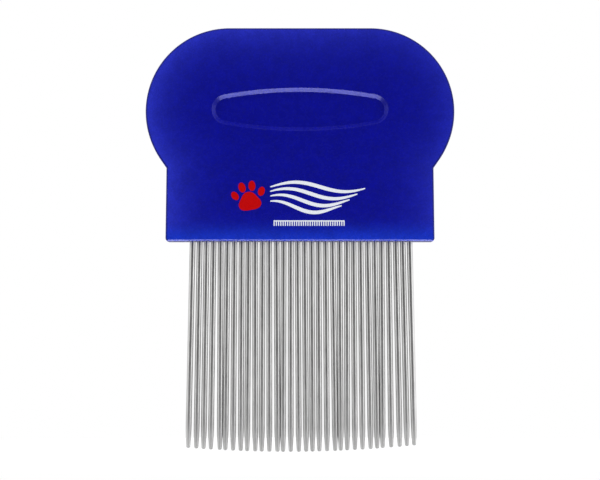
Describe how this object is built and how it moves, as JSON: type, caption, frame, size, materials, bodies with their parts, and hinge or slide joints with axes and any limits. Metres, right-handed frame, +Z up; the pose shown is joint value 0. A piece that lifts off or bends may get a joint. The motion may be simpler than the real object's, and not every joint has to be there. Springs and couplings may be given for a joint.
{
  "type": "flea comb",
  "caption": "Fine-toothed grooming comb: a lobed translucent plastic handle with a finger recess in each face and one row of round steel pins with tapered, rounded tips.",
  "frame": {"origin": "middle of the finger grip, halfway through the handle's thickness, where finger and thumb pinch the comb", "axes": "+Z up with the pins pointing down, +X across the row of pins to the right, -Y out of the printed front face"},
  "size_m": [0.075, 0.007, 0.1029],
  "materials": {
    "blue_plastic": "satin translucent royal blue moulded plastic",
    "pin_steel": "drawn and polished stainless steel wire"
  },
  "bodies": {
    "root": {"handle": "blue_plastic", "pin_01": "pin_steel", "pin_02": "pin_steel", "pin_03": "pin_steel", "pin_04": "pin_steel", "pin_05": "pin_steel", "pin_06": "pin_steel", "pin_07": "pin_steel", "pin_08": "pin_steel", "pin_09": "pin_steel", "pin_10": "pin_steel", "pin_11": "pin_steel", "pin_12": "pin_steel", "pin_13": "pin_steel", "pin_14": "pin_steel", "pin_15": "pin_steel", "pin_16": "pin_steel", "pin_17": "pin_steel", "pin_18": "pin_steel", "pin_19": "pin_steel", "pin_20": "pin_steel", "pin_21": "pin_steel", "pin_22": "pin_steel", "pin_23": "pin_steel", "pin_24": "pin_steel", "pin_25": "pin_steel", "pin_26": "pin_steel", "pin_27": "pin_steel", "pin_28": "pin_steel", "pin_29": "pin_steel", "pin_30": "pin_steel", "pin_31": "pin_steel", "pin_32": "pin_steel"}
  },
  "joints": []
}
